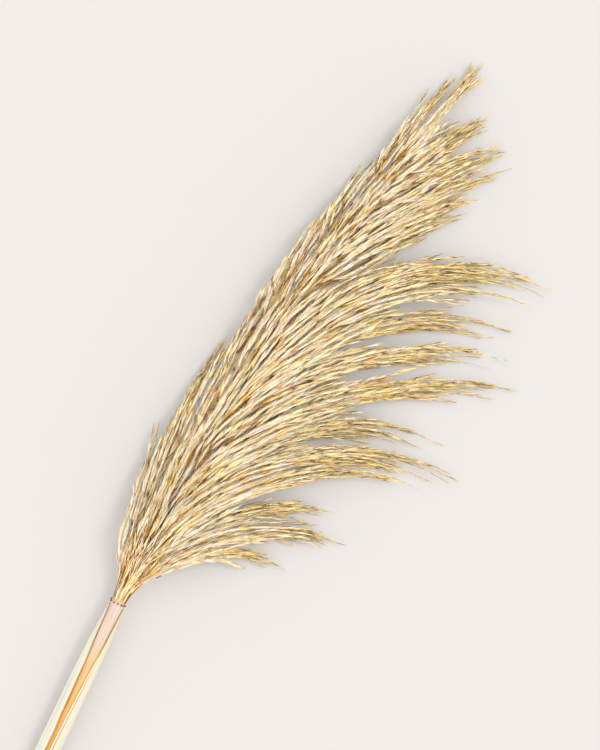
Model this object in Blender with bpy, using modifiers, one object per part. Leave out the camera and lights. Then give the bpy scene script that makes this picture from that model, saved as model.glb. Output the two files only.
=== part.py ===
"""One cut plume of dried pampas grass, lying on its side on a flat surface.

The plume is a one-sided panicle. A single stem runs from the cut end through the
sheath to the ring, and goes on as the rachis, the axis of the plume. The branches
leave the rachis on both sides, run along it and arch over to the same side.
Each branch is one solid: the outline of the lock of spikelets that it carries.

Axes: +X runs from the stem to the tip, +Y is the plume's back, +Z is up.
The origin is under the middle of the object, on the surface that it lies on.
"""

import math

import bmesh
import bpy
import numpy as np
from mathutils import Euler, Vector

# Stem and rachis, metres and degrees.
STEM_LENGTH = 0.220
RACHIS_LENGTH = 0.446
CUT_RADIUS = 0.0062
RING_RADIUS = 0.0050
RACHIS_RADII = ((0.0, 0.0050), (0.02, 0.0041), (0.5, 0.0024), (1.0, 0.0006))
STEM_HEADING = 6.5
RACHIS_HEADING = (8.0, -25.0, 9.0)  # degrees: constant, linear and square terms
CUT_HEIGHT = 0.0073
RING_HEIGHT = 0.0130
RACHIS_TOP_HEIGHT = 0.0185
RACHIS_TIP_HEIGHT = 0.0080
RACHIS_RISES_TO = 0.30  # share of its length
RACHIS_FALLS_FROM = 0.55
RACHIS_STEPS = 96
CULM_RINGS = 12
RACHIS_RINGS = 34
STEM_BEVEL = 2  # Blender's bevel resolution

# Leaf sheath, an open trough that closes over the culm towards the cut end.
SHEATH_WALL = 0.00045
SHEATH_FROM_RING = 0.0025
SHEATH_FROM_CUT = 0.0030
SHEATH_HALF_WIDTHS = ((0.0, 0.0057), (0.030, 0.0075), (0.060, 0.0081), (0.220, 0.0084))
SHEATH_HALF_HEIGHTS = ((0.0, 0.0057), (0.030, 0.0063), (0.060, 0.0066), (0.220, 0.0071))
SHEATH_RINGS = 16
SHEATH_ARCS = 18
SHEATH_OPENINGS = ((0.0, 68.0), (0.013, 52.0), (0.030, 37.0), (0.045, 25.0), (0.100, 10.0), (0.220, 6.0))

# Ring of bract scars at the top of the culm.
BRACT_WIDTH = 0.0010
BRACT_GAP = 0.00035
BRACT_BEHIND_RING = 0.0012
BRACT_SEGMENTS = (24, 6)  # round the culm, round the ring's own section

# Branches.
BASE_RADIUS = 0.0007
TIP_RADIUS = 0.0004
FULL_RADIUS = 0.0060
GAP = 0.0004  # between neighbours
RACHIS_GAP = 0.00036
HALF_WIDTH = 0.0008  # of a lock without length, and how much each metre of length adds
HALF_WIDTH_PER_METRE = 0.030
OUTLINE = (2.6, 0.8, 0.6)  # scale, and the powers that round the base and the tip
LOCK_BEVEL = 1
BRANCH_POINTS = 12
PATH_STEPS = 44
BODY_HEIGHTS = {"low": 0.0064, "mid": 0.0182, "top": 0.0292, "cap": 0.0370}
TIP_HEIGHTS = {"low": 0.0012, "mid": 0.0062, "top": 0.0150, "cap": 0.0370}
RISES = {"low": 0.28, "mid": 0.28, "top": 0.28, "cap": 1.0}  # share of the length
DROOPS_FROM = 0.45  # share of the length
THINS_FROM = 0.5  # share of the rachis from which the plume gets thinner
THINNING = 0.45
ATTACH_ANGLES = {"low": -58.0, "mid": -4.0, "top": 52.0}

# Locks on the open side: name, place along the rachis as a share of its length,
# spread from the rachis in degrees, length in metres, total bend in degrees, the power
# that sets where along the branch the bend lies, and how many branches make the lock.
OPEN_SIDE_LOCKS = (
    ("a", 0.016, 21, 0.113, 76, 1.26, 1),
    ("b", 0.024, 13, 0.156, 71, 0.80, 2),
    ("c", 0.036, 9, 0.152, 67, 0.86, 2),
    ("d", 0.052, 7, 0.253, 87, 1.14, 4),
    ("e", 0.100, 7, 0.231, 82, 1.26, 3),
    ("f", 0.155, 8, 0.273, 66, 0.91, 3),
    ("g", 0.210, 8, 0.257, 69, 1.16, 3),
    ("h", 0.270, 8, 0.244, 71, 1.36, 3),
    ("i", 0.330, 9, 0.264, 75, 1.69, 4),
    ("j", 0.420, 9, 0.150, 42, 1.51, 3),
    ("k", 0.500, 8, 0.157, 32, 0.97, 2),
    ("l", 0.560, 9, 0.172, 30, 1.10, 4),
    ("m", 0.640, 8, 0.143, 34, 1.30, 3),
    ("n", 0.720, 8, 0.110, 14, 0.80, 3),
    ("o", 0.835, 1, 0.080, 1, 1.20, 2),
)

# Members of an open-side lock: layer, shift along the rachis as a share of its length,
# length and bend as a share of the lock's, and extra spread in degrees.
OPEN_SIDE_MEMBERS = (
    ("mid", 0.000, 1.00, 1.00, 0.0),
    ("low", 0.016, 0.90, 1.02, 1.5),
    ("top", 0.012, 0.80, 0.96, -1.0),
    ("top", -0.026, 0.88, 0.98, 1.5),
)

# Branches on the back, which run along the rachis and cover it.
BACK_LOCKS = (
    ("q", 0.016, 11, 0.128, 11, 1.20),
    ("r", 0.085, 12.5, 0.158, 20, 1.20),
    ("s", 0.190, 10, 0.170, 26, 1.20),
    ("t", 0.320, 9.2, 0.168, 24, 1.20),
    ("u", 0.460, 9, 0.158, 20, 1.20),
    ("v", 0.600, 7, 0.138, 18, 1.20),
    ("w", 0.740, 6, 0.104, 13, 1.20),
)
BACK_MEMBERS = (
    ("mid", 0.000, 1.00, 1.00, 0.0, 184.0),
    ("cap", 0.030, 0.70, 0.50, -8.0, 100.0),
)

COLOURS = {
    "culm": ((0.80, 0.56, 0.33, 1.0), 0.45),
    "sheath": ((0.86, 0.82, 0.66, 1.0), 0.55),
    "bract": ((0.36, 0.16, 0.10, 1.0), 0.80),
    "plume": ((0.80, 0.66, 0.42, 1.0), 0.85),
}


def smooth(share):
    """0 to 1 with level ends."""
    held = min(max(share, 0.0), 1.0)
    return held * held * (3.0 - 2.0 * held)


def between(table, place):
    """The value at a place in a table of (place, value) pairs."""
    places, values = zip(*table)
    return float(np.interp(place, places, values))


def turned(heading):
    """Unit vector along a heading in the horizontal plane, and the one to its right."""
    angle = math.radians(heading)
    along = np.array((math.cos(angle), math.sin(angle), 0.0))
    right = np.array((math.sin(angle), -math.cos(angle), 0.0))
    return along, right


def rachis_heading(share):
    constant, linear, square = RACHIS_HEADING
    return constant + linear * share + square * share * share


def rachis_height(share):
    """The rachis rises over the lower branches and comes down to its tip."""
    rise = (RACHIS_TOP_HEIGHT - RING_HEIGHT) * smooth(share / RACHIS_RISES_TO)
    falling = (share - RACHIS_FALLS_FROM) / (1.0 - RACHIS_FALLS_FROM)
    fall = (RACHIS_TOP_HEIGHT - RACHIS_TIP_HEIGHT) * smooth(falling)
    return RING_HEIGHT + rise - fall


def rachis_radius(share):
    return between(RACHIS_RADII, share)


def rachis_path():
    """Points along the rachis from the ring to the tip."""
    spot = np.zeros(3)
    points = [spot.copy()]
    for step in range(RACHIS_STEPS):
        along, _ = turned(rachis_heading((step + 0.5) / RACHIS_STEPS))
        spot = spot + along * RACHIS_LENGTH / RACHIS_STEPS
        points.append(spot.copy())
    for number, point in enumerate(points):
        point[2] = rachis_height(number / RACHIS_STEPS)
    return np.array(points)


RACHIS = rachis_path()


def on_rachis(share):
    place = min(max(share, 0.0), 1.0) * (len(RACHIS) - 1)
    return np.array([np.interp(place, range(len(RACHIS)), RACHIS[:, k]) for k in range(3)])


def branch_path(share, side, spread, length, bend, power, layer, attach):
    """Centreline of one branch, from its base beside the rachis to its tip."""
    heading = rachis_heading(share)
    _, right = turned(heading)
    reach = rachis_radius(share) + BASE_RADIUS + GAP
    angle = math.radians(attach)
    spot = on_rachis(share) + reach * (math.cos(angle) * right + math.sin(angle) * np.array((0, 0, 1)))
    base_height, step = spot[2], length / PATH_STEPS
    points = [spot.copy()]
    for number in range(PATH_STEPS):
        part = (number + 0.5) / PATH_STEPS
        along, _ = turned(heading - side * spread - bend * part**power)
        spot = spot + along * step
        points.append(spot.copy())
    body = BODY_HEIGHTS[layer] * (1.0 - THINNING * max(0.0, share - THINS_FROM))
    tip = min(TIP_HEIGHTS[layer], body)
    for number, point in enumerate(points):
        part = number / PATH_STEPS
        held = base_height + (body - base_height) * smooth(part / RISES[layer])
        point[2] = held + (tip - held) * smooth((part - DROOPS_FROM) / (1.0 - DROOPS_FROM))
    return np.array(points)


def wanted_radius(part, length):
    """Half the width of a lock: thin at its base, full at the middle, pointed at the tip."""
    full = min(FULL_RADIUS, HALF_WIDTH + HALF_WIDTH_PER_METRE * length)
    scale, base_power, tip_power = OUTLINE
    outline = scale * part**base_power * (1.0 - part) ** tip_power
    return max(full * outline, BASE_RADIUS + (TIP_RADIUS - BASE_RADIUS) * part)


def all_branches():
    """Name, path and length of every branch, from the ring to the tip."""
    rows = []
    for name, share, spread, length, bend, power, count in OPEN_SIDE_LOCKS:
        members = OPEN_SIDE_MEMBERS[:count]
        for number, (layer, shift, longer, more, wider) in enumerate(members, 1):
            place = max(share + shift, 0.0)
            path = branch_path(
                place, 1, spread + wider, length * longer, bend * more, power, layer, ATTACH_ANGLES[layer]
            )
            rows.append((f"branch_{name}{number}", path, length * longer))
    for name, share, spread, length, bend, power in BACK_LOCKS:
        for number, (layer, shift, longer, more, wider, attach) in enumerate(BACK_MEMBERS, 1):
            path = branch_path(
                share + shift, -1, spread + wider, length * longer, bend * more, power, layer, attach
            )
            rows.append((f"branch_{name}{number}", path, length * longer))
    return rows


def nearest(point, path):
    """Distance from a point to a path of straight runs."""
    starts, ends = path[:-1], path[1:]
    runs = ends - starts
    along = np.clip(((point - starts) * runs).sum(1) / (runs * runs).sum(1), 0.0, 1.0)
    return float(np.linalg.norm(starts + along[:, None] * runs - point, axis=1).min())


def fitted_radii(rows):
    """Each lock's half width, held back to half of the room to its neighbours."""
    fitted = []
    for name, path, length in rows:
        radii = []
        for number, point in enumerate(path):
            radius = wanted_radius(number / PATH_STEPS, length)
            for other, other_path, _ in rows:
                if other != name:
                    radius = min(radius, (nearest(point, other_path) - GAP) / 2)
            gaps = np.linalg.norm(RACHIS - point, axis=1)
            closest = int(gaps.argmin())
            rachis = rachis_radius(closest / (len(RACHIS) - 1))
            radius = min(radius, nearest(point, RACHIS) - rachis - RACHIS_GAP)
            radii.append(radius)
        fitted.append(np.array(radii))
    return fitted


def material(name):
    colour, roughness = COLOURS[name]
    made = bpy.data.materials.new(name)
    made.use_nodes = True
    shader = made.node_tree.nodes["Principled BSDF"]
    shader.inputs["Base Color"].default_value = colour
    shader.inputs["Roughness"].default_value = roughness
    shader.inputs["Metallic"].default_value = 0.0
    made.diffuse_color = colour
    return made


def place(made, collection, root, finish):
    """Puts an object in the collection, under the root, with its material."""
    for holder in list(made.users_collection):
        holder.objects.unlink(made)
    collection.objects.link(made)
    made.parent = root
    made.data.materials.append(finish)
    return made


def tapered_tube(name, points, radii, bevel):
    """A round rod or lock along a path, its radius given at each point."""
    curve = bpy.data.curves.new(name, "CURVE")
    curve.dimensions = "3D"
    curve.bevel_depth = FULL_RADIUS
    curve.bevel_resolution = bevel
    curve.use_fill_caps = True
    spline = curve.splines.new("POLY")
    spline.points.add(len(points) - 1)
    for target, point, radius in zip(spline.points, points, radii):
        target.co = (*point, 1.0)
        target.radius = radius / FULL_RADIUS
    spline.use_smooth = True
    return bpy.data.objects.new(name, curve)


def stem_axis(from_ring):
    """A point on the culm's axis at a distance behind the ring."""
    along, _ = turned(STEM_HEADING)
    share = from_ring / STEM_LENGTH
    point = -along * from_ring
    point[2] = RING_HEIGHT + (CUT_HEIGHT - RING_HEIGHT) * share
    return point


def culm_radius(from_ring):
    return RING_RADIUS + (CUT_RADIUS - RING_RADIUS) * from_ring / STEM_LENGTH


def stem():
    """The culm and the rachis, which grew as one piece."""
    points, radii = [], []
    for from_ring in np.linspace(STEM_LENGTH, 0.0, CULM_RINGS):
        points.append(stem_axis(from_ring))
        radii.append(culm_radius(from_ring))
    for share in np.linspace(0.0, 1.0, RACHIS_RINGS)[1:]:
        points.append(on_rachis(share))
        radii.append(rachis_radius(share))
    return tapered_tube("stem", points, radii, STEM_BEVEL)


def leaf_sheath():
    """The leaf sheath: a lofted trough round the culm, given its wall by Solidify."""
    _, right = turned(STEM_HEADING)
    up = np.array((0.0, 0.0, 1.0))
    mesh = bmesh.new()
    rows = []
    for from_ring in np.linspace(SHEATH_FROM_RING, STEM_LENGTH - SHEATH_FROM_CUT, SHEATH_RINGS):
        centre = stem_axis(from_ring)
        wide = between(SHEATH_HALF_WIDTHS, from_ring)
        high = between(SHEATH_HALF_HEIGHTS, from_ring)
        opening = between(SHEATH_OPENINGS, from_ring)
        row = []
        for angle in np.radians(np.linspace(opening, 360.0 - opening, SHEATH_ARCS + 1)):
            offset = wide * math.sin(angle) * right + high * math.cos(angle) * up
            row.append(mesh.verts.new(Vector(centre + offset)))
        rows.append(row)
    for first, second in zip(rows[:-1], rows[1:]):
        for number in range(SHEATH_ARCS):
            mesh.faces.new((first[number], second[number], second[number + 1], first[number + 1]))
    bmesh.ops.recalc_face_normals(mesh, faces=mesh.faces)
    data = bpy.data.meshes.new("leaf_sheath")
    mesh.to_mesh(data)
    mesh.free()
    data.shade_smooth()
    made = bpy.data.objects.new("leaf_sheath", data)
    wall = made.modifiers.new("wall", "SOLIDIFY")
    wall.thickness = SHEATH_WALL
    wall.offset = 0.0
    wall.use_even_offset = True
    return made


def bract_ring():
    """The ring of bract scars round the top of the culm."""
    across = RING_RADIUS + BRACT_GAP + BRACT_WIDTH / 2
    slope = math.atan2(RING_HEIGHT - CUT_HEIGHT, STEM_LENGTH)
    bpy.ops.mesh.primitive_torus_add(
        major_radius=across,
        minor_radius=BRACT_WIDTH / 2,
        major_segments=BRACT_SEGMENTS[0],
        minor_segments=BRACT_SEGMENTS[1],
        location=stem_axis(BRACT_BEHIND_RING),
        rotation=Euler((0.0, math.pi / 2 - slope, math.radians(STEM_HEADING))),
    )
    made = bpy.context.object
    made.name = "bract_ring"
    made.data.shade_smooth()
    return made


def lowest_and_highest(objects):
    """The box that the objects fill, as Blender evaluates them."""
    graph = bpy.context.evaluated_depsgraph_get()
    corners = []
    for item in objects:
        evaluated = item.evaluated_get(graph)
        mesh = evaluated.to_mesh()
        corners += [evaluated.matrix_world @ vertex.co for vertex in mesh.vertices]
        evaluated.to_mesh_clear()
    table = np.array(corners)
    return table.min(0), table.max(0)


def main():
    for item in list(bpy.data.objects):
        bpy.data.objects.remove(item)
    collection = bpy.data.collections.new("pampas_plume")
    bpy.context.scene.collection.children.link(collection)
    root = bpy.data.objects.new("resting_point", None)
    collection.objects.link(root)

    plume = material("plume")
    place(stem(), collection, root, material("culm"))
    place(leaf_sheath(), collection, root, material("sheath"))
    place(bract_ring(), collection, root, material("bract"))
    rows = all_branches()
    for (name, path, _), radii in zip(rows, fitted_radii(rows)):
        kept = np.unique(np.round(np.linspace(0, PATH_STEPS, BRANCH_POINTS)).astype(int))
        place(tapered_tube(name, path[kept], radii[kept], LOCK_BEVEL), collection, root, plume)

    bpy.context.view_layer.update()
    low, high = lowest_and_highest([item for item in collection.objects if item.type != "EMPTY"])
    root.location = (-(low[0] + high[0]) / 2, -(low[1] + high[1]) / 2, -low[2])
    bpy.context.view_layer.update()


main()
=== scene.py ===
import math

import bpy
import numpy as np
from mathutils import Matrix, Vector


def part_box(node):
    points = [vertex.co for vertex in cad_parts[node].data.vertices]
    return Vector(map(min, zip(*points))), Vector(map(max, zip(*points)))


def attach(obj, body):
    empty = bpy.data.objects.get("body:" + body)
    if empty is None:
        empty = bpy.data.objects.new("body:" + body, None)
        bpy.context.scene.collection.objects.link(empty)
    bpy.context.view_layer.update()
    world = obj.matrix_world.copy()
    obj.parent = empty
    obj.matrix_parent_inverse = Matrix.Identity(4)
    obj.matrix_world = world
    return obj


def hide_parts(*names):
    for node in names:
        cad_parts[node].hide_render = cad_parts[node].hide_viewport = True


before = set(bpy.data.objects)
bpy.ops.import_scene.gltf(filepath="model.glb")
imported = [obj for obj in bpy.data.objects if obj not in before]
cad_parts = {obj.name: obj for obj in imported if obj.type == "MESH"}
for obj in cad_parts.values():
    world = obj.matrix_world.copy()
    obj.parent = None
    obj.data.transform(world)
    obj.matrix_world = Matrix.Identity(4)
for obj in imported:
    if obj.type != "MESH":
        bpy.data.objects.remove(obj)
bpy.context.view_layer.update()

# ---------------------------------------------------------------------------------------
# Stem: the round straw culm below the ring and the rachis above it, one piece that grew
# whole. Dry and woody, with fine ribs along it and a pale pith inside its cut end.
# ---------------------------------------------------------------------------------------
STEM_CORNERS = 8  # corners round each ring of the CAD stem
STEM_SIDES = 40
STEM_STATIONS = 260
STEM_RIBS = 13
RIB_DEPTH = 0.00008
STEM_HEADING = math.radians(6.5)
CULM_LENGTH = 0.220
PITH_DEPTH = 0.0004
COLOURS_FROM = 0.008  # above the ring
COLOURS_RUN = 0.128
FIBRE_GRAIN = (14.0, 1500.0, 1500.0)  # along the stem and twice across it
FIBRE_SHARE = 0.8
PITH_GRAIN = 1400.0


def deselect_all():
    bpy.ops.object.select_all(action="DESELECT")


def midline(node_name, corners_round):
    """The middle and the half width of a CAD rod at each of its rings, from its foot to its tip."""
    places = np.array([corner.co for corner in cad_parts[node_name].data.vertices])
    places = np.unique(np.round(places, 6), axis=0)
    centre = places.mean(0)
    along = np.linalg.svd(places - centre, full_matrices=False)[2][0]
    along = along * np.sign(along[0])
    rings = places[np.argsort((places - centre) @ along)].reshape(-1, corners_round, 3)
    middle = rings.mean(1)
    return middle, np.linalg.norm(rings - middle[:, None], axis=2).mean(1)


def smooth_run(points, steps):
    """Points spread evenly on a smooth curve through the given ones, where those lie, and where these do."""
    gaps = np.linalg.norm(np.diff(points, axis=0), axis=1)
    marks = np.concatenate([[0.0], np.cumsum(gaps)])
    slopes = np.gradient(points, marks, axis=0)
    wanted = np.linspace(0.0, marks[-1], steps)
    piece = np.clip(np.searchsorted(marks, wanted, side="right") - 1, 0, len(points) - 2)
    width = (marks[piece + 1] - marks[piece])[:, None]
    part = (wanted - marks[piece])[:, None] / width
    rise = part * part * (3 - 2 * part)
    run = (
        points[piece] * (1 - rise)
        + points[piece + 1] * rise
        + width * (part * (1 - part) ** 2 * slopes[piece] - part * part * (1 - part) * slopes[piece + 1])
    )
    return run, marks, wanted


def frames_along(run):
    """Unit vectors at each point of a run: along it, level to its side, and across both."""
    along = np.gradient(run, axis=0)
    along /= np.linalg.norm(along, axis=-1, keepdims=True)
    side = np.cross(along, (0.0, 0.0, 1.0))
    side /= np.linalg.norm(side, axis=-1, keepdims=True)
    return along, side, np.cross(side, along)


def rod(run, radii, sides):
    """Corners and walls of a round rod along a run, with no caps, and the way out at each corner."""
    _, side, over = frames_along(run)
    turns = np.linspace(0.0, math.tau, sides, endpoint=False)
    out = np.cos(turns)[None, :, None] * side[:, None] + np.sin(turns)[None, :, None] * over[:, None]
    corners = (run[:, None] + np.asarray(radii)[:, None, None] * out).reshape(-1, 3)
    first = np.arange(len(run) - 1)[:, None] * sides + np.arange(sides)
    after = np.arange(len(run) - 1)[:, None] * sides + (np.arange(sides) + 1) % sides
    walls = np.stack([first, after, after + sides, first + sides], axis=2).reshape(-1, 4)
    return corners, walls, out


class Wire:
    """A shader socket that Python's own signs work on: each sign adds a Math node."""

    def __init__(self, tree, socket):
        self.tree = tree
        self.socket = socket

    def _math(self, operation, *values):
        node = self.tree.nodes.new("ShaderNodeMath")
        node.operation = operation
        for number, value in enumerate(values):
            if isinstance(value, Wire):
                self.tree.links.new(value.socket, node.inputs[number])
            else:
                node.inputs[number].default_value = value
        return Wire(self.tree, node.outputs[0])

    def __sub__(self, other):
        return self._math("SUBTRACT", self, other)

    def __rsub__(self, other):
        return self._math("SUBTRACT", other, self)

    def __mul__(self, other):
        return self._math("MULTIPLY", self, other)

    def __rmul__(self, other):
        return self._math("MULTIPLY", other, self)

    def __truediv__(self, other):
        return self._math("DIVIDE", self, other)

    def __gt__(self, other):
        return self._math("GREATER_THAN", self, other)

    def __lt__(self, other):
        return self._math("LESS_THAN", self, other)


def tint(colour):
    """A paint-chart colour, 0 to 255 as a screen shows it, as the light it reflects."""
    shares = [channel / 255 for channel in colour]
    return (*[s / 12.92 if s <= 0.04045 else ((s + 0.055) / 1.055) ** 2.4 for s in shares], 1.0)


class Finish:
    """One material and its nodes."""

    def __init__(self, name, roughness):
        self.material = bpy.data.materials.new(name)
        self.material.use_nodes = True
        self.tree = self.material.node_tree
        self.shader = self.tree.nodes["Principled BSDF"]
        self.shader.inputs["Roughness"].default_value = roughness

    def node(self, kind, sockets=None, out=0, stops=(), **settings):
        """Any node: its type, values or wires for its sockets, the output wanted, and its settings."""
        made = self.tree.nodes.new("ShaderNode" + kind)
        for name, value in settings.items():
            setattr(made, name, value)
        for number, (place, colour) in enumerate(stops):
            if number == len(made.color_ramp.elements):
                made.color_ramp.elements.new(place)
            made.color_ramp.elements[number].position = place
            made.color_ramp.elements[number].color = tint(colour)
        for name, value in (sockets or {}).items():
            self.join(value, made.inputs[name])
        return Wire(self.tree, made.outputs[out])

    def join(self, value, socket):
        if isinstance(value, Wire):
            self.tree.links.new(value.socket, socket)
        else:
            socket.default_value = value

    def apart(self, wire):
        """The three numbers of a vector."""
        made = self.node("SeparateXYZ", {"Vector": wire}).socket.node
        return [Wire(self.tree, output) for output in made.outputs]

    def ramp(self, value, stops):
        """A colour that follows a value through (place, colour) stops."""
        return self.node("ValToRGB", {"Fac": value}, stops=stops)

    def mix(self, share, low, high, blend="MIX"):
        """Two colours mixed by a share from 0 to 1: a Mix node's sockets 6 and 7 are its colours."""
        return self.node("Mix", {0: share, 6: low, 7: high}, out=2, data_type="RGBA", blend_type=blend)

    def colour(self, wire):
        self.join(wire, self.shader.inputs["Base Color"])

    def bump(self, height, strength, distance):
        made = self.node("Bump", {"Strength": strength, "Distance": distance, "Height": height})
        self.join(made, self.shader.inputs["Normal"])


def settle(piece, slot, *nodes):
    """Hangs a finished piece under the root body and hides the CAD nodes that it stands for."""
    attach(piece, "root")
    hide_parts(*nodes)


def piece_from(name, corners, faces, finish, slot, *nodes):
    """Makes one visible piece from its corners and faces."""
    mesh = bpy.data.meshes.new(name)
    mesh.from_pydata(corners.tolist(), [], faces)
    mesh.validate()
    mesh.shade_smooth()
    piece = bpy.data.objects.new(name, mesh)
    bpy.context.scene.collection.objects.link(piece)
    mesh.materials.append(finish.material)
    settle(piece, slot, *nodes)
    return piece


stem_middle, stem_half = midline("stem", STEM_CORNERS)
stem_run, stem_marks, stem_along = smooth_run(stem_middle, STEM_STATIONS)
stem_radii = np.interp(stem_along, stem_marks, stem_half)
ring_low, ring_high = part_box("bract_ring")
ring_place = (ring_low + ring_high) / 2

corners, walls, out = rod(stem_run, stem_radii, STEM_SIDES)
turns = np.linspace(0.0, math.tau, STEM_SIDES, endpoint=False)
ribs = np.cos(turns * STEM_RIBS)[None, :] * RIB_DEPTH * (stem_radii / stem_radii.max())[:, None]
corners = corners + (ribs[:, :, None] * out).reshape(-1, 3)
caps = [list(range(STEM_SIDES))[::-1], list(range(len(corners) - STEM_SIDES, len(corners)))]

straw = Finish("dry_culm", roughness=0.42)
turned = straw.node(
    "Mapping",
    {
        "Vector": straw.node("TexCoord", out=3),
        "Location": tuple(ring_place),
        "Rotation": (0.0, 0.0, STEM_HEADING),
    },
    vector_type="TEXTURE",
)
along, across, _ = straw.apart(turned)
culm_colours = straw.ramp(
    (COLOURS_FROM - along) / COLOURS_RUN,
    [
        (0.0, (190, 155, 101)),
        (0.045, (190, 155, 101)),
        (0.060, (196, 179, 171)),
        (0.30, (198, 178, 161)),
        (0.46, (205, 169, 119)),
        (0.68, (208, 161, 82)),
        (1.0, (208, 160, 64)),
    ],
)
stretched = straw.node("Mapping", {"Vector": turned, "Scale": FIBRE_GRAIN})
fibres = straw.node("TexNoise", {"Vector": stretched, "Scale": 1.0, "Detail": 2.0})
streaks = straw.ramp(fibres, [(0.30, (222, 198, 178)), (0.55, (255, 252, 248)), (0.80, (240, 226, 210))])
culm_skin = straw.mix(FIBRE_SHARE, culm_colours, streaks, "MULTIPLY")
speckled = straw.node("TexVoronoi", {"Vector": turned, "Scale": PITH_GRAIN})
pith = straw.ramp(speckled, [(0.10, (176, 142, 96)), (0.35, (238, 226, 196)), (1.0, (246, 238, 214))])
straw.colour(straw.mix(along < PITH_DEPTH - CULM_LENGTH, culm_skin, pith))
straw.bump(fibres, strength=0.35, distance=0.00015)
piece_from("culm_and_rachis", corners, walls.tolist() + caps, straw, "culm", "stem")

# ---------------------------------------------------------------------------------------
# Leaf sheath: the papery foot of a leaf, wrapped round the culm with its edges apart at
# the top. One thin sheet, rolled, raised along its veins. Near its edges a pale line is a
# painted highlight, and a brown line beside it is painted shadow.
# ---------------------------------------------------------------------------------------
SHEATH_WALL = 0.00045
SHEATH_FROM_RING = 0.0025
SHEATH_FROM_CUT = 0.0030
SHEATH_AROUND = 96
SHEATH_ALONG = 120
SHEATH_VEINS = 30
VEIN_HEIGHT = 0.00005
EDGE_WAVER = 0.5  # degrees
EDGE_WAVES = 210.0  # radians of the edge's waver in a metre
EDGE_TWIST = 2.0  # how much later the waver comes at the other edge
CURLED_FROM = 0.86  # share of the way round from which the left edge curls in against the culm
CURLED_LENGTH = 0.075  # below the ring
CURLED_WALLS = 0.7  # from the culm to the curled edge, in thicknesses of the sheath
SHARP_EDGE = math.radians(50.0)
VEIN_GRAIN = (260.0, 5.0)  # around and along
VEIN_SHARE = 0.75
# distance from the ring: half width, half height, and degrees from the top to either edge
SHEATH_SECTIONS = (
    (0.000, 0.0057, 0.0057, 68.0),
    (0.013, 0.0064, 0.0060, 52.0),
    (0.030, 0.0075, 0.0063, 37.0),
    (0.045, 0.0078, 0.0065, 25.0),
    (0.060, 0.0081, 0.0066, 20.0),
    (0.100, 0.0082, 0.0068, 10.0),
    (0.220, 0.0084, 0.0071, 6.0),
)

deselect_all()
bpy.ops.mesh.primitive_grid_add(x_subdivisions=SHEATH_AROUND, y_subdivisions=SHEATH_ALONG, size=1.0)
sheath = bpy.context.object
sheath.name = "rolled_sheath"
flat = np.array([corner.co for corner in sheath.data.vertices]) + 0.5
around, down = flat[:, 0], flat[:, 1]
from_ring = SHEATH_FROM_RING + down * (CULM_LENGTH - SHEATH_FROM_CUT - SHEATH_FROM_RING)
section_at, *section_rows = zip(*SHEATH_SECTIONS)
half_wide, half_high, opening = (np.interp(from_ring, section_at, row) for row in section_rows)
opening = opening + EDGE_WAVER * np.sin(from_ring * EDGE_WAVES + around * EDGE_TWIST)
angle = np.radians(opening + around * (360.0 - 2 * opening))
veined = 1 + VEIN_HEIGHT * np.cos(around * math.tau * SHEATH_VEINS) / half_wide
culm_radius = np.interp(CULM_LENGTH - from_ring, stem_along, stem_radii)
off_axis = np.hypot(half_wide * np.sin(angle), half_high * np.cos(angle))
curl = np.clip((around - CURLED_FROM) / (1 - CURLED_FROM), 0, 1) ** 2
curl = curl * np.clip(1 - from_ring / CURLED_LENGTH, 0, 1) ** 0.5
veined = veined * (1 - curl * (1 - (culm_radius + CURLED_WALLS * SHEATH_WALL) / off_axis))
axis_ends = zip(stem_middle[0], ring_place)
on_axis = np.stack([np.interp(-from_ring, (-CULM_LENGTH, 0.0), ends) for ends in axis_ends], axis=1)
along_culm = np.array((math.cos(STEM_HEADING), math.sin(STEM_HEADING), 0.0))
right_of_culm = np.cross(along_culm, (0.0, 0.0, 1.0))
rolled = on_axis + (half_wide * veined * np.sin(angle))[:, None] * right_of_culm
rolled[:, 2] += half_high * veined * np.cos(angle)
sheath.data.vertices.foreach_set("co", rolled.astype(np.float32).ravel())
sheath.data.uv_layers[0].name = "sheath_chart"
wall = sheath.modifiers.new("wall", "SOLIDIFY")
wall.thickness = SHEATH_WALL
wall.offset = 0.0
bpy.ops.object.modifier_apply(modifier="wall")
bpy.ops.object.mode_set(mode="EDIT")
bpy.ops.mesh.select_all(action="SELECT")
bpy.ops.mesh.normals_make_consistent(inside=False)
bpy.ops.object.mode_set(mode="OBJECT")
bpy.ops.object.shade_smooth_by_angle(angle=SHARP_EDGE)

papery = Finish("papery_sheath", roughness=0.5)
across, down, _ = papery.apart(papery.node("UVMap", uv_map="sheath_chart"))
# Colours across the sheath: near each edge a pale line is a painted highlight, and a brown line beside it is
# painted shadow.
colours_at_cut = papery.ramp(
    across,
    [
        (0.000, (222, 218, 208)),
        (0.014, (222, 218, 208)),
        (0.021, (179, 134, 95)),
        (0.029, (179, 134, 95)),
        (0.044, (200, 196, 179)),
        (0.26, (202, 198, 183)),
        (0.50, (200, 192, 169)),
        (0.74, (222, 220, 206)),
        (0.85, (222, 220, 206)),
        (0.872, (200, 202, 187)),
        (0.955, (196, 198, 185)),
        (0.975, (220, 214, 202)),
        (0.986, (200, 138, 89)),
        (1.000, (196, 130, 82)),
    ],
)
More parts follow.
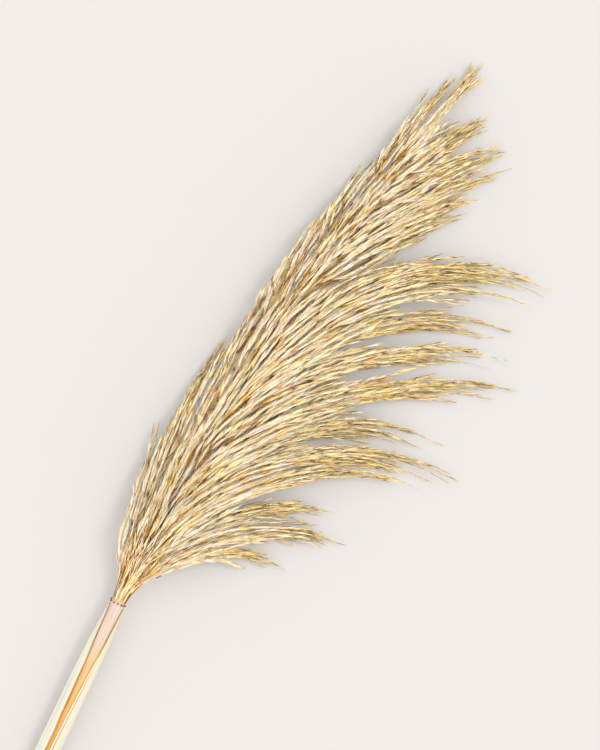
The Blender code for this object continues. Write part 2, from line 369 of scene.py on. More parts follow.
# Near the ring, the brown line at the left edge is painted shadow against the culm.
colours_at_ring = papery.ramp(
    across,
    [
        (0.000, (191, 179, 93)),
        (0.014, (194, 183, 105)),
        (0.030, (200, 196, 179)),
        (0.26, (202, 198, 183)),
        (0.50, (200, 192, 169)),
        (0.74, (222, 220, 206)),
        (0.87, (222, 220, 206)),
        (0.895, (200, 203, 185)),
        (0.955, (198, 200, 183)),
        (0.982, (204, 183, 156)),
        (1.000, (198, 138, 93)),
    ],
)
towards_cut = papery.ramp(down, [(0.16, (0, 0, 0)), (0.30, (255, 255, 255))])
sheath_colours = papery.mix(towards_cut, colours_at_ring, colours_at_cut)
long_lines = papery.node("CombineXYZ", {"X": across * VEIN_GRAIN[0], "Y": down * VEIN_GRAIN[1], "Z": 0.0})
veins = papery.node("TexNoise", {"Vector": long_lines, "Scale": 1.0, "Detail": 2.0})
vein_shades = papery.ramp(veins, [(0.32, (228, 224, 210)), (0.58, (255, 254, 252))])
papery.colour(papery.mix(VEIN_SHARE, sheath_colours, vein_shades, "MULTIPLY"))
papery.bump(veins, strength=0.4, distance=0.0002)
sheath.data.materials.append(papery.material)
settle(sheath, "sheath", "leaf_sheath")

# ---------------------------------------------------------------------------------------
# Bract scars: a ring of short dry scales at the culm's top node, dark reddish brown and
# uneven. One scale is modelled and copied round the culm, longer at the culm's two sides.
# ---------------------------------------------------------------------------------------
SCALE_COUNT = 12
SCALE_LENGTH = 0.0015
SCALE_WIDTH = 0.0015
SCALE_THICKNESS = 0.00042
SCALE_LEAN = 0.16  # outwards, for each unit along the culm
SCALE_STRAY = 0.22  # of the way to the next scale
SCALE_UNEVEN = (0.8, 1.2)
SCALE_SEED = 900
RING_OUT = 0.00545
LONG_SCALES = {0: 1.5, 6: 2.2}  # number round the ring: times the usual length
BLOTCH_GRAIN = 900.0

umber = Finish("dark_bract", roughness=0.6)
bract_places = umber.node("TexCoord", out=3)
blotches = umber.node("TexNoise", {"Vector": bract_places, "Scale": BLOTCH_GRAIN, "Detail": 1.0})
umber.colour(umber.ramp(blotches, [(0.35, (104, 52, 48)), (0.55, (148, 82, 74)), (0.75, (196, 132, 104))]))

deselect_all()
bpy.ops.mesh.primitive_uv_sphere_add(segments=10, ring_count=8, radius=1.0)
scale = bpy.context.object
scale.name = "bract_scales"
bpy.ops.object.shade_smooth()
culm_way = Vector(along_culm)
copies = []
for number in range(SCALE_COUNT):
    chance = np.random.default_rng(SCALE_SEED + number)
    turn = math.tau * (number + chance.uniform(-SCALE_STRAY, SCALE_STRAY)) / SCALE_COUNT
    copy = scale.copy()
    copy.data = scale.data.copy()
    bpy.context.scene.collection.objects.link(copy)
    longer = LONG_SCALES.get(number, 1.0) * chance.uniform(*SCALE_UNEVEN)
    out = Vector(math.cos(turn) * right_of_culm + math.sin(turn) * np.array((0.0, 0.0, 1.0)))
    copy.location = Vector(ring_place) + out * RING_OUT + culm_way * SCALE_LENGTH * (longer - 1) * 0.5
    copy.rotation_mode = "QUATERNION"
    copy.rotation_quaternion = (culm_way + out * SCALE_LEAN).to_track_quat("X", "Z")
    copy.scale = (SCALE_LENGTH * longer / 2, SCALE_WIDTH / 2, SCALE_THICKNESS)
    copies.append(copy)
bpy.data.objects.remove(scale)
deselect_all()
for copy in copies:
    copy.select_set(True)
bpy.context.view_layer.objects.active = copies[0]
bpy.ops.object.transform_apply(location=True, rotation=True, scale=True)
bpy.ops.object.join()
bracts = bpy.context.object
bracts.name = "bract_scales"
bracts.data.materials.append(umber.material)
settle(bracts, "bract", "bract_ring")

# ---------------------------------------------------------------------------------------
# Spikelets: straw-coloured and pointed, of a few papery florets and glumes, with silky
# hairs from their feet that reach past their tips. One pattern is made for all of them.
# ---------------------------------------------------------------------------------------
FLORET_BELLY = 0.60  # width of a floret near its tip, as a share of its width
BELLY_BETWEEN = (0.6, 0.99)  # heights on the new shape between which that is
GLUME_TONE = (0.03, 0.25)
HAIR_TONE = (0.03, 0.10)
# Tones of the thin dark blade at each spikelet's foot: painted shade that stands for the dark gaps deep
# between spikelets.
GAP_SHADE_TONE = (0.84, 0.97)
GLUME_BROWNS = 0.12  # how far a browned glume's tone goes up
HAIR_BROWNS = 0.08
DARKER = 0.20
TONE_LIMITS = (0.03, 0.97)
CHART_STEP = 0.006  # keeps a part's corners apart on the colour chart
SPIKELET_BEND = 0.018

# The colour chart runs from pale to dark up its height. Its left half is straw and its
# right half green, and either half runs from a part's foot to its tip.
CHART_MARGIN = 0.02
CHART_HALF = 0.5
CHART_RUN = 0.46
ROD_CHART = (0.30, 0.90)  # where a rod's foot and tip take their shade


def blade_pattern(belly):
    """The blade just added, closed, along +X from 0 to 1 and one wide, drawn out to its tip."""
    blade = bpy.context.object
    bpy.ops.object.mode_set(mode="EDIT")
    bpy.ops.mesh.select_all(action="SELECT")
    bpy.ops.transform.translate(value=(0.0, 0.0, 0.5))
    bpy.ops.mesh.select_all(action="DESELECT")
    bpy.ops.object.mode_set(mode="OBJECT")
    for vertex in blade.data.vertices:
        vertex.select = BELLY_BETWEEN[0] < vertex.co.z < BELLY_BETWEEN[1]
    bpy.ops.object.mode_set(mode="EDIT")
    bpy.ops.transform.resize(value=(belly, belly, 1.0))
    bpy.ops.mesh.select_all(action="SELECT")
    bpy.ops.mesh.quads_convert_to_tris()
    bpy.ops.object.mode_set(mode="OBJECT")
    corners = np.array([vertex.co for vertex in blade.data.vertices])[:, [2, 0, 1]]
    faces = np.array([list(face.vertices) for face in blade.data.polygons])
    mesh = blade.data
    bpy.data.objects.remove(blade)
    bpy.data.meshes.remove(mesh)
    return corners, faces


deselect_all()
bpy.ops.mesh.primitive_uv_sphere_add(segments=3, ring_count=3, radius=0.5)
FLORET = blade_pattern(FLORET_BELLY)
deselect_all()
bpy.ops.mesh.primitive_cone_add(vertices=3, radius1=0.5, radius2=0.0, depth=1.0)
HAIR = blade_pattern(1.0)

# Parts of one spikelet: pattern, where its foot and tip lie along the spikelet, width,
# swing to the side and up in degrees, and which of the tones above it takes.
SPIKELET_PARTS = (
    (FLORET, 0.04, 1.00, 0.090, 0.0, 0.0, "same"),
    (FLORET, 0.00, 0.86, 0.062, 2.4, 1.2, "darker"),
    (FLORET, 0.08, 0.94, 0.084, -2.4, -1.0, "glume"),
    # A thin dark blade at the foot: painted shade for the dark gaps between spikelets.
    (HAIR, 0.00, 0.66, 0.046, 0.8, -2.6, "gap_shade"),
    (HAIR, 0.10, 1.15, 0.024, 3.5, 4.0, "hair"),
    (HAIR, 0.14, 1.08, 0.024, -5.0, 3.0, "hair"),
)
PART_TONES = (("glume", GLUME_TONE, GLUME_BROWNS), ("hair", HAIR_TONE, HAIR_BROWNS), ("gap_shade", GAP_SHADE_TONE, 0.0))


def spikelet_pattern():
    """Corners, faces, places along and tones of the spikelet that every twig carries."""
    corners, faces, places, tones = [], [], [], []
    count = 0
    for (shape, triangles), foot, tip, width, swing, lift, tone in SPIKELET_PARTS:
        length = tip - foot
        wide = shape * (length, width, width)
        reach = shape[:, 0] * length
        wide[:, 0] += foot
        wide[:, 1] += reach * math.tan(math.radians(swing))
        wide[:, 2] += reach * math.tan(math.radians(lift))
        corners.append(wide)
        faces.append(triangles + count)
        places.append(shape[:, 0])
        tones += [tone] * len(shape)
        count += len(shape)
    return np.concatenate(corners), np.concatenate(faces), np.concatenate(places), np.array(tones)


SPIKELET = spikelet_pattern()

silk = Finish("silky_straw", roughness=0.55)
chart_across, tone_across, _ = silk.apart(silk.node("UVMap", uv_map="OFBake"))
is_green = chart_across > CHART_HALF
place_along = (chart_across - is_green * CHART_HALF) * 2.0
straw_tones = silk.ramp(
    tone_across,
    [
        (0.00, (238, 234, 230)),
        (0.14, (238, 228, 208)),
        (0.30, (241, 217, 158)),
        (0.46, (246, 205, 104)),
        (0.60, (240, 184, 78)),
        (0.74, (216, 146, 64)),
        (0.86, (162, 98, 44)),
        (1.00, (88, 52, 22)),
    ],
)
green_tones = silk.ramp(
    tone_across,
    [
        (0.00, (245, 243, 228)),
        (0.14, (245, 238, 198)),
        (0.30, (242, 224, 130)),
        (0.46, (234, 206, 84)),
        (0.60, (210, 174, 64)),
        (0.74, (176, 136, 60)),
        (0.86, (126, 94, 48)),
        (1.00, (80, 56, 30)),
    ],
)
# Each part is darker and browner at its foot: painted shade where the feet lie hidden under their neighbours'
# tips, on a foot that is a little browner of its own.
painted_foot_shade = silk.ramp(
    place_along,
    [(0.00, (176, 120, 66)), (0.20, (240, 216, 178)), (0.45, (255, 255, 255)), (1.00, (252, 246, 238))],
)
silk.colour(silk.mix(1.0, silk.mix(is_green, straw_tones, green_tones), painted_foot_shade, "MULTIPLY"))

# ---------------------------------------------------------------------------------------
# Branches: each one a thin springy axis with finer twigs of its own, all round it. The
# branches arch over to one side, and the hairs of one lock cling together into a point.
# ---------------------------------------------------------------------------------------
BRANCH_CORNERS = 6  # corners round each ring of a CAD branch
BRANCH_SEED = 100
RUN_STEPS = 64
LOCK_LETTER = len("branch_")  # place of the lock's letter in a branch's name
FLOOR_CLEAR = 0.0004
FLOOR_GIVE = 0.0022  # height over which a piece eases onto the surface
NOT_EASED = 20  # times FLOOR_GIVE above the surface, from where nothing is eased

# How a branch lies. Shares are of its length, from its foot.
CLINGING_LOCKS = "abcdefghj"
CLING = 0.45
CLINGS_FROM = 0.40
CLING_IN_HEIGHT = 0.3
CLING_STEPS = 9  # over which the drawing in is smoothed
LIES_FROM = 0.38  # share from which it comes down to lie on the surface
LIES_LOWER = 0.50
REACHES_PAST = {"branch_i2": 1.08, "branch_i3": 1.12, "branch_i4": 1.11}  # times the solid's own length

# How full a branch is: its reach above and below its axis, and to its sides
UPWARD_AT = (0, 0.10, 0.30, 0.50, 0.72, 0.88, 1.0)
UPWARD_SHARE = (0.12, 0.60, 1.0, 0.92, 0.54, 0.26, 0.09)
UPWARD_OF_SOLID = 1.05
UPWARD_LEAST = 0.0006
SIDEWAYS_AT = (0, 0.10, 0.25, 0.50, 0.70, 0.88, 1.0)
SIDEWAYS_SHARE = (0.12, 0.70, 1.25, 1.12, 0.58, 0.26, 0.09)
SIDEWAYS_MOST = 0.0092
SIDEWAYS_START = 0.0025
SIDEWAYS_PER_METRE = 0.030
SIDEWAYS_LEAST = 0.0004
FULLER_LOCKS = "qrstu"
FULLER = 1.2
# lock: how much wider its end is than the outline above, or narrower
LOOSE_TIPS = {"i": 0.8, "k": 0.8, "l": 0.8, "m": 1.0, "n": 1.8, "o": -0.6, "v": -0.3, "w": -0.3}
LOOSE_FOOT = 1.1

AXIS_SHARE = 0.90
AXIS_RADII = (0.00045, 0.00012)
AXIS_TONE = 0.50
AXIS_SIDES = 5
AXIS_CARRIES_FROM = 0.30

TWIG_SPACING = 0.0080
TWIGS_LEAST = 8
TWIG_STARTS = (0.015, 0.73)  # share where the first one leaves, and how far on the last one does
TWIGS_CROWD = 1.08
TWIG_STRAY = 0.4
LONG_TWIG_EVERY = 3
LONG_TWIG = (0.080, 0.125)
SHORT_TWIG = (0.038, 0.066)
TWIG_LEAST_SHARE = 0.10
TWIG_ENDS = (0.79, 1.0)
TWIG_LAST_END = 0.985  # for a twig that would otherwise be too short
TWIG_TURN = 2.399  # from each twig to the next round the axis
TWIG_STEPS = 20
TWIG_OUT = (0.30, 1.1)
TWIG_OPENS = 3.2
TWIG_RADII = (0.00022, 0.00010)
TWIG_TONE = 0.52
TWIG_SIDES = 3
STRAY_CHANCE = 0.30
STRAY_TIP = (0.0025, 0.0060)
CLOSE_TIP = (-0.001, 0.0015)
STRAYS_PAST = 0.6  # only twigs that end past this share stray
STRAY_IN_HEIGHT = 0.3

SPIKELET_SPACING = 0.0020
SPIKELETS_LEAST = 3
SPIKELET_LENGTH = (0.0120, 0.0175)
FOOT_TWIGS_TO = 0.1  # share of the branch
BARE_FOOT_TWIG = 0.20  # share of a twig before its first spikelet
BARE_TWIG = 0.12
OUTER_FROM = 0.62
BROWNED_FROM = 0.42
BROWNED_OVER = 0.42
OUTER_SHED = 0.45  # share that has dropped off at the tip
OUTER_SHORTER = 0.40
OUTER_SLIMMER = 0.53
SPREAD = 1.9  # degrees
OUTER_SPREAD = 0.6
SPREAD_IN_HEIGHT = 0.8

TONES = (0.10, 0.32, 0.50, 0.68)
TONE_SHARES = (0.27, 0.28, 0.26, 0.19)
TONE_SHIFT = -0.12
TONE_OF_TWIG = 0.09
TONE_OF_SPIKELET = 0.04
TONE_BROWNED = 0.20
# Spikelets low in the plume, near the surface, take a browner tone: painted shade.
LOW_SHADE_TONE = 0.02
LOW_SHADE_UNDER = 0.022
WITHERED_SHARE = 0.34
WITHERED_TONE = (0.76, 0.92)
GREEN_SHARE = 0.28
GREEN_BROWNED = 0.34

branch_names = sorted(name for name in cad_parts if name.startswith("branch_"))


def unit(vectors):
    return vectors / np.linalg.norm(vectors, axis=-1, keepdims=True)


def at_share(rows, shares):
    """The rows of a table read at shares of its length."""
    spots = np.asarray(shares) * (len(rows) - 1)
    return np.stack([np.interp(spots, np.arange(len(rows)), rows[:, k]) for k in range(3)], axis=1)


def eased_step(whole, start):
    """0 up to the start, and from there a soft step to 1 at the end."""
    part = np.clip((whole - start) / (1 - start), 0, 1)
    return part * part * (3 - 2 * part)


class Growth:
    """One piece as it grows: corners, faces, and for each corner its place along its part and its tone."""

    def __init__(self, seed):
        self.chance = np.random.default_rng(seed)
        self.corners, self.faces, self.places, self.tones = [], [], [], []
        self.count = 0

    def keep(self, corners, faces, places, tones):
        self.corners.append(corners)
        self.faces.extend((faces + self.count).tolist())
        self.places.append(places)
        self.tones.append(tones)
        self.count += len(corners)

    def thread(self, points, radii, sides, tone):
        """A closed rod that thins from its foot to its tip: a branch's own axis or a twig."""
        first = self.count
        corners, walls, _ = rod(points, np.linspace(*radii, len(points)), sides)
        places = np.repeat(np.linspace(*ROD_CHART, len(points)), sides)
        self.keep(corners, walls, places, tone + CHART_STEP * np.tile(np.arange(sides) % 2, len(points)))
        self.faces.append((first + np.arange(sides)[::-1]).tolist())
        self.faces.append((self.count - sides + np.arange(sides)).tolist())

    def spikelets(self, feet, heads, size, slim, browned):
        """Spikelets at their feet, each along its head, with its size and slimness, and browned or not."""
        chance = self.chance
        number = len(feet)
        tone, green = self.tones_for(feet, browned)
        bend = chance.normal(0, SPIKELET_BEND, number)
        roll = chance.uniform(0, math.tau, number)
        level = unit(np.cross(heads, (0.0, 0.0, 1.0)))
        rise = np.cross(level, heads)
        wide = np.cos(roll)[:, None] * level + np.sin(roll)[:, None] * rise
        deep = np.cross(heads, wide)
        shape, triangles, shape_places, shape_tones = SPIKELET
        x, y, z = shape[:, 0], shape[:, 1], shape[:, 2]
        across = slim[:, None] * y[None, :] + bend[:, None] * x[None, :] ** 2
        depth = slim[:, None] * z[None, :]
        grown = x[None, :, None] * heads[:, None] + across[:, :, None] * wide[:, None]
        grown = grown + depth[:, :, None] * deep[:, None]
        grown = feet[:, None] + size[:, None, None] * grown
        tones = np.repeat(tone[:, None], len(shape), axis=1)
        tones = np.where(shape_tones == "darker", tones + DARKER, tones)
        for part, limits, browns in PART_TONES:
            part_tones = chance.uniform(*limits, (number, 1)) + browns * browned[:, None]
            tones = np.where(shape_tones == part, part_tones, tones)
        tones = np.clip(tones, *TONE_LIMITS) + CHART_STEP * (np.arange(len(shape)) % 3 - 1)
        places = CHART_MARGIN + CHART_RUN * shape_places[None, :] + CHART_HALF * green[:, None]
        faces = triangles[None] + np.arange(number)[:, None, None] * len(shape)
        self.keep(grown.reshape(-1, 3), faces.reshape(-1, 3), places.ravel(), tones.ravel())

    def tones_for(self, feet, browned):
        """Tones and greenness of a twig's spikelets: browner near the surface as painted shade, and browner
        towards the tip.
        """
        chance = self.chance
        number = len(feet)
        twig_tone = chance.normal(0, TONE_OF_TWIG)
        # Painted shade: spikelets whose feet lie near the surface take a browner tone.
        low = np.clip((LOW_SHADE_UNDER - feet[:, 2]) / LOW_SHADE_UNDER, 0, 1)
        tone = chance.choice(TONES, number, p=TONE_SHARES)
        tone = tone + twig_tone + chance.normal(0, TONE_OF_SPIKELET, number)
        tone = tone + TONE_BROWNED * browned + LOW_SHADE_TONE * low + TONE_SHIFT
        withered = chance.uniform(0, 1, number) < WITHERED_SHARE * browned
        tone = np.where(withered, chance.uniform(*WITHERED_TONE, number), tone)
        green = (chance.uniform(0, 1, number) < GREEN_SHARE + GREEN_BROWNED * browned).astype(float)
        return tone, green

    def dress(self, points, spots, spreads, lengths, slim, browned):
        """Spikelets at spots along a twig, spread from its own way by angles to the side and up."""
        chance = self.chance
        number = len(spots)
        along, side, over = (at_share(rows, spots) for rows in frames_along(points))
        swing = np.tan(chance.normal(0, 1, number) * spreads[0])[:, None]
        lift = np.tan(chance.normal(0, 1, number) * spreads[1])[:, None]
        size = chance.uniform(lengths[0], lengths[1], number) * lengths[2]
        heads = unit(along + swing * side + lift * over)
        self.spikelets(at_share(points, spots), heads, size, slim, browned)

    def piece(self, name, finish, *nodes):
        """Lays everything on the surface, makes the piece and gives it its colour chart."""
        corners = np.concatenate(self.corners)
        over = (corners[:, 2] - FLOOR_CLEAR) / FLOOR_GIVE
        eased = np.where(over > NOT_EASED, over, np.log1p(np.exp(np.minimum(over, NOT_EASED))))
        corners[:, 2] = FLOOR_CLEAR + FLOOR_GIVE * eased
        made = piece_from(name, corners, self.faces, finish, "plume", *nodes)
        spread = np.stack([np.concatenate(self.places), np.concatenate(self.tones)], axis=1)
        chart = made.data.uv_layers.new(name="OFBake")
        owner = np.zeros(len(made.data.loops), dtype=np.int32)
        made.data.loops.foreach_get("vertex_index", owner)
        chart.uv.foreach_set("vector", spread[owner].astype(np.float32).ravel())


def drawn_in(name, run):
    """The run, drawn towards the longest branch of its lock."""
    lock = [other for other in branch_names if other[LOCK_LETTER] == name[LOCK_LETTER]]
    runs = [smooth_run(midline(other, BRANCH_CORNERS)[0], RUN_STEPS)[0] for other in lock]
    longest = max(runs, key=lambda other: np.linalg.norm(other[-1] - other[0]))
    nearest = longest[np.linalg.norm(run[:, None] - longest[None], axis=2).argmin(1)]
    draw = CLING * eased_step(np.linspace(0, 1, RUN_STEPS), CLINGS_FROM)
    shift = draw[:, None] * (nearest - run) * (1.0, 1.0, CLING_IN_HEIGHT)
    padded = np.pad(shift, ((CLING_STEPS // 2, CLING_STEPS // 2), (0, 0)), mode="edge")
    window = np.ones(CLING_STEPS) / CLING_STEPS
    return run + np.stack([np.convolve(padded[:, k], window, "valid") for k in range(3)], axis=1)


def axis_of(name):
    """A branch's axis as it lies, its length, and its reach upwards and sideways along it."""
    middle, half = midline(name, BRANCH_CORNERS)
    lock = name[LOCK_LETTER]
    whole = np.linspace(0, 1, RUN_STEPS)
    run, marks, run_marks = smooth_run(middle, RUN_STEPS)
    length = marks[-1]
    if lock in CLINGING_LOCKS:
        run = drawn_in(name, run)
    past = REACHES_PAST.get(name, 1.0)
    run = run[0] + (run - run[0]) * (past, past, 1.0)
    run[:, 2] *= 1 - LIES_LOWER * eased_step(whole, LIES_FROM)
    upward = UPWARD_OF_SOLID * np.interp(run_marks, marks, half) * np.interp(whole, UPWARD_AT, UPWARD_SHARE)
    sideways = min(SIDEWAYS_MOST, SIDEWAYS_START + SIDEWAYS_PER_METRE * length)
    sideways = sideways * np.interp(whole, SIDEWAYS_AT, SIDEWAYS_SHARE) + SIDEWAYS_LEAST
    if lock in FULLER_LOCKS:
        sideways = sideways * FULLER
    if lock in LOOSE_TIPS:
        sideways = sideways * (LOOSE_FOOT + LOOSE_TIPS[lock] * whole)
    return run, length, upward + UPWARD_LEAST, sideways


def grow_twigs(growth, run, length, upward, sideways):
    """The twigs round a branch's axis: each one's points, and the shares where it starts and ends."""
    chance = growth.chance
    whole = np.linspace(0, 1, RUN_STEPS)
    part = np.linspace(0, 1, TWIG_STEPS)
    _, axis_side, axis_over = frames_along(run)
    twig_count = max(TWIGS_LEAST, round(length / TWIG_SPACING))
    twigs = []
    for number in range(twig_count):
        turn_by_turn = max(number + chance.uniform(-TWIG_STRAY, TWIG_STRAY), 0.0) / twig_count
        start = TWIG_STARTS[0] + TWIG_STARTS[1] * turn_by_turn**TWIGS_CROWD
        span = chance.uniform(*(SHORT_TWIG if number % LONG_TWIG_EVERY else LONG_TWIG))
        end = min(start + span / length, chance.uniform(*TWIG_ENDS))
        end = max(end, min(start + TWIG_LEAST_SHARE, TWIG_LAST_END))
        turn = number * TWIG_TURN + chance.uniform(-TWIG_STRAY, TWIG_STRAY)
        turn = turn + np.linspace(0, chance.uniform(-TWIG_STRAY, TWIG_STRAY), TWIG_STEPS)
        shares = np.linspace(start, end, TWIG_STEPS)
        out = chance.uniform(*TWIG_OUT) * (1 - np.exp(-TWIG_OPENS * part))
        strays = chance.uniform() < STRAY_CHANCE
        splay = chance.uniform(*(STRAY_TIP if strays else CLOSE_TIP)) * part**3 * (end > STRAYS_PAST)
        aside = np.cos(turn) * (out * np.interp(shares, whole, sideways) + splay)
        up = np.sin(turn) * (out * np.interp(shares, whole, upward) + STRAY_IN_HEIGHT * splay)
        points = at_share(run, shares)
        points += aside[:, None] * at_share(axis_side, shares) + up[:, None] * at_share(axis_over, shares)
        growth.thread(points[::2], TWIG_RADII, TWIG_SIDES, TWIG_TONE)
        twigs.append((points, start, end))
    return twigs


def grow_branch(name, seed):
    """One branch with its twigs and spikelets, grown along the middle of its CAD solid."""
    growth = Growth(seed)
    run, length, upward, sideways = axis_of(name)
    growth.thread(run[: int(AXIS_SHARE * RUN_STEPS)], AXIS_RADII, AXIS_SIDES, AXIS_TONE)
    carriers = [(run[int(AXIS_CARRIES_FROM * RUN_STEPS):], AXIS_CARRIES_FROM, 1.0)]
    carriers += grow_twigs(growth, run, length, upward, sideways)
    for points, start, end in carriers:
        number = max(SPIKELETS_LEAST, int((end - start) * length / SPIKELET_SPACING))
        bare = BARE_TWIG if start > FOOT_TWIGS_TO else BARE_FOOT_TWIG
        spots = np.sort(growth.chance.uniform(bare, 1.0, number))
        shares = start + spots * (end - start)
        outer = np.clip((shares - OUTER_FROM) / (1 - OUTER_FROM), 0, 1)
        kept = growth.chance.uniform(0, 1, number) > OUTER_SHED * outer
        spots, shares, outer = spots[kept], shares[kept], outer[kept]
        browned = np.clip((shares - BROWNED_FROM) / BROWNED_OVER, 0, 1)
        spread = np.radians(SPREAD + OUTER_SPREAD * outer)
        lengths = (*SPIKELET_LENGTH, 1 - OUTER_SHORTER * outer)
        spreads = (spread, SPREAD_IN_HEIGHT * spread)
        growth.dress(points, spots, spreads, lengths, 1 - OUTER_SLIMMER * outer, browned)
    growth.piece(name.replace("branch", "spray"), silk, name)


for number, name in enumerate(branch_names):
    grow_branch(name, BRANCH_SEED + number)

# ---------------------------------------------------------------------------------------
# Threads at the ring: the fine pale twigs that leave the rachis just above the ring and
# hide it as they fan out among the lowest branches. They carry the first spikelets.
# ---------------------------------------------------------------------------------------
THREADS = 200
THREAD_SEED = 77
THREADS_REACH_BRANCHES_TO = 0.075  # above the ring
THREAD_START = (0.0010, 0.0140)  # above the ring
THREAD_JOINS = (0.020, 0.055)  # along the branch that it joins
THREAD_GOES_ON = (0.012, 0.045)
THREAD_ENDS_BY = 0.7  # share of that branch
THREAD_SIDE_REACH = 0.006  # sideways to the branch, at which a thread leaves the rachis's side
THREAD_SIDE_TURN = 1.1
THREAD_STRAY = 0.7
THREAD_SUNK = 0.97  # of the rachis's radius
THREAD_OFF_BRANCH = (0.0042, 0.0022)  # to the side and up
THREAD_LEAN = 0.12
LEAD_STEPS = 12  # from the rachis to the branch
TAIL_STEPS = 9  # along the branch
THREAD_SIDES = 4
THREAD_RADII = (0.00030, 0.00012)
THREAD_TONES = (0.02, 0.12, 0.26, 0.46, 0.84, 0.96)
THREAD_BARE = 0.014
THREAD_SPACING = 0.0060
THREAD_SPREADS = (math.radians(4.0), math.radians(3.0))
THREAD_SPIKELETS = (0.0100, 0.0150)
THREAD_FIRST_SPIKELET = 0.6  # times the length of its last one
THREAD_SPIKELET_SLIM = 0.80

fan = Growth(THREAD_SEED)
low_runs = []
for name in branch_names:
    run, marks, _ = smooth_run(midline(name, BRANCH_CORNERS)[0], RUN_STEPS)
    if run[0, 0] < ring_place.x + THREADS_REACH_BRANCHES_TO:
        low_runs.append((run, marks[-1]))
ring_along = float(np.interp(ring_place.x, stem_run[:, 0], stem_along))
lead_part = np.linspace(0, 1, LEAD_STEPS)[:-1, None]
for number in range(THREADS):
    run, length = low_runs[number % len(low_runs)]
    joins = fan.chance.uniform(*THREAD_JOINS) / length
    ends = min(joins + fan.chance.uniform(*THREAD_GOES_ON) / length, THREAD_ENDS_BY)
    starts = (ring_along + fan.chance.uniform(*THREAD_START)) / stem_marks[-1]
    foot = at_share(stem_run, [starts])[0]
    axis = unit(at_share(np.gradient(stem_run, axis=0), [starts])[0])
    rachis_radius = float(np.interp(starts * stem_marks[-1], stem_along, stem_radii))
    beside = unit(np.cross(axis, (0.0, 0.0, 1.0)))
    leaning = np.clip((run[0] - foot) @ beside / THREAD_SIDE_REACH, -1.0, 1.0)
    turn = math.pi / 2 - leaning * THREAD_SIDE_TURN + fan.chance.uniform(-THREAD_STRAY, THREAD_STRAY)
    out = math.cos(turn) * beside + math.sin(turn) * np.cross(beside, axis)
    foot = foot + out * rachis_radius * THREAD_SUNK
    on_branch = np.linspace(joins, ends, TAIL_STEPS)
    _, side, over = frames_along(run)
    shift = fan.chance.uniform(-1, 1, 2) * THREAD_OFF_BRANCH
    tail = at_share(run, on_branch)
    tail += shift[0] * at_share(side, on_branch) + shift[1] * at_share(over, on_branch)
    gap = np.linalg.norm(tail[0] - foot)
    arriving = unit(tail[1] - tail[0])
    lead = (
        foot * (1 - lead_part) ** 2 * (1 + 2 * lead_part)
        + tail[0] * lead_part**2 * (3 - 2 * lead_part)
        + gap * lead_part * (1 - lead_part) ** 2 * unit(axis + THREAD_LEAN * out)
        - gap * lead_part**2 * (1 - lead_part) * arriving
    )
    points = np.concatenate([lead, tail])
    fan.thread(points, THREAD_RADII, THREAD_SIDES, fan.chance.choice(THREAD_TONES))
    reach = np.linalg.norm(np.diff(points, axis=0), axis=1).sum()
    spots = np.sort(fan.chance.uniform(THREAD_BARE / reach, 1.0, int(reach / THREAD_SPACING)))
    lengths = (*THREAD_SPIKELETS, THREAD_FIRST_SPIKELET + (1 - THREAD_FIRST_SPIKELET) * spots)
    slim = np.full(len(spots), THREAD_SPIKELET_SLIM)
    fan.dress(points, spots, THREAD_SPREADS, lengths, slim, browned=np.zeros(len(spots)))
fan.piece("ring_threads", silk, "stem")

# ---------------------------------------------------------------------------------------
# Surface, light and camera: a plain pale surface that glows a little to lighten the shade
# on it, soft light from all round, one soft window light, and a camera straight above.
# ---------------------------------------------------------------------------------------
SURFACE_COLOUR = (165, 162, 160)
SURFACE_GLOW_COLOUR = (247, 244, 240)
SURFACE_GLOW = 0.21
SURFACE_SIZE = 6.0

deselect_all()
bpy.ops.mesh.primitive_plane_add(size=SURFACE_SIZE, location=(0.0, 0.0, 0.0))
surface = bpy.context.object
surface.name = "pale_surface"
matt = Finish("pale_surface", roughness=0.9)
matt.shader.inputs["Base Color"].default_value = tint(SURFACE_COLOUR)
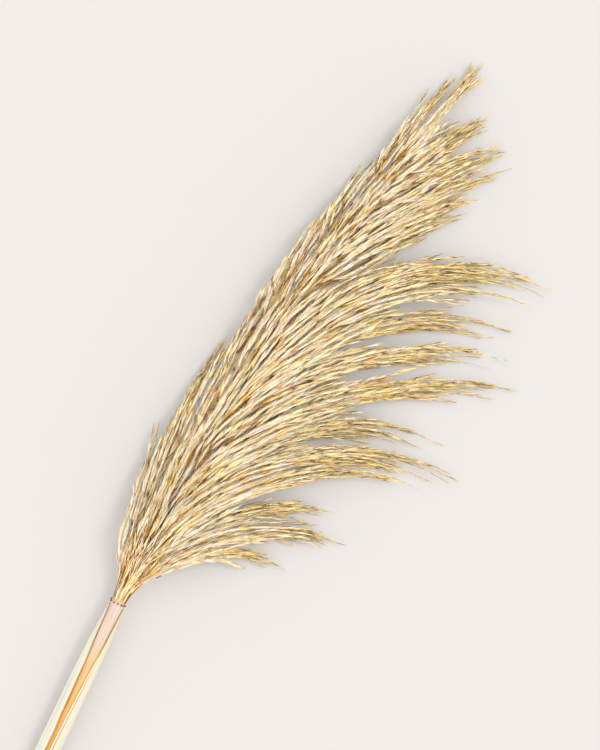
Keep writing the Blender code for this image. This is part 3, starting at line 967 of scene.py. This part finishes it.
# The glow is painted light: it lightens the shade that the plume casts on the surface.
matt.shader.inputs["Emission Color"].default_value = tint(SURFACE_GLOW_COLOUR)
matt.shader.inputs["Emission Strength"].default_value = SURFACE_GLOW
surface.data.materials.append(matt.material)

VIEW_ROLL = math.radians(58.0)
VIEW_FROM_RING = (0.2029, -0.0235)  # from the ring to the middle of the view
VIEW_HEIGHT = 0.525  # what the view takes in, top to bottom, at the plume's middle height
PLUME_HEIGHT = 0.014
CAMERA_HEIGHT = 1.70  # above the plume's middle height
SENSOR_HEIGHT = 24.0

view_x, view_y = ring_place.x + VIEW_FROM_RING[0], ring_place.y + VIEW_FROM_RING[1]
bpy.ops.object.camera_add(
    location=(view_x, view_y, PLUME_HEIGHT + CAMERA_HEIGHT), rotation=(0.0, 0.0, -VIEW_ROLL)
)
camera = bpy.context.object
camera.name = "overhead_camera"
camera.data.sensor_fit = "VERTICAL"
camera.data.sensor_height = SENSOR_HEIGHT
camera.data.lens = SENSOR_HEIGHT * CAMERA_HEIGHT / VIEW_HEIGHT
bpy.context.scene.camera = camera

SKY_COLOUR = (1.0, 0.99, 0.975, 1.0)
SKY_STRENGTH = 1.47

world = bpy.data.worlds.new("soft_studio")
bpy.context.scene.world = world
world.use_nodes = True
world.node_tree.nodes["Background"].inputs["Color"].default_value = SKY_COLOUR
world.node_tree.nodes["Background"].inputs["Strength"].default_value = SKY_STRENGTH

KEY_HEADING = math.radians(20.0) - VIEW_ROLL  # from the view's right, a little from its top
KEY_HEIGHT = math.radians(57.0)
KEY_COLOUR = (1.0, 0.985, 0.96)
KEY_ENERGY = 1.22
KEY_SOFTNESS = math.radians(18.0)

towards_key = Vector((math.cos(KEY_HEADING), math.sin(KEY_HEADING), math.tan(KEY_HEIGHT)))
bpy.ops.object.light_add(type="SUN", rotation=towards_key.to_track_quat("Z", "Y").to_euler())
key = bpy.context.object
key.name = "window_light"
key.data.energy = KEY_ENERGY
key.data.angle = KEY_SOFTNESS
key.data.color = KEY_COLOUR

bpy.context.scene.view_settings.view_transform = "Standard"
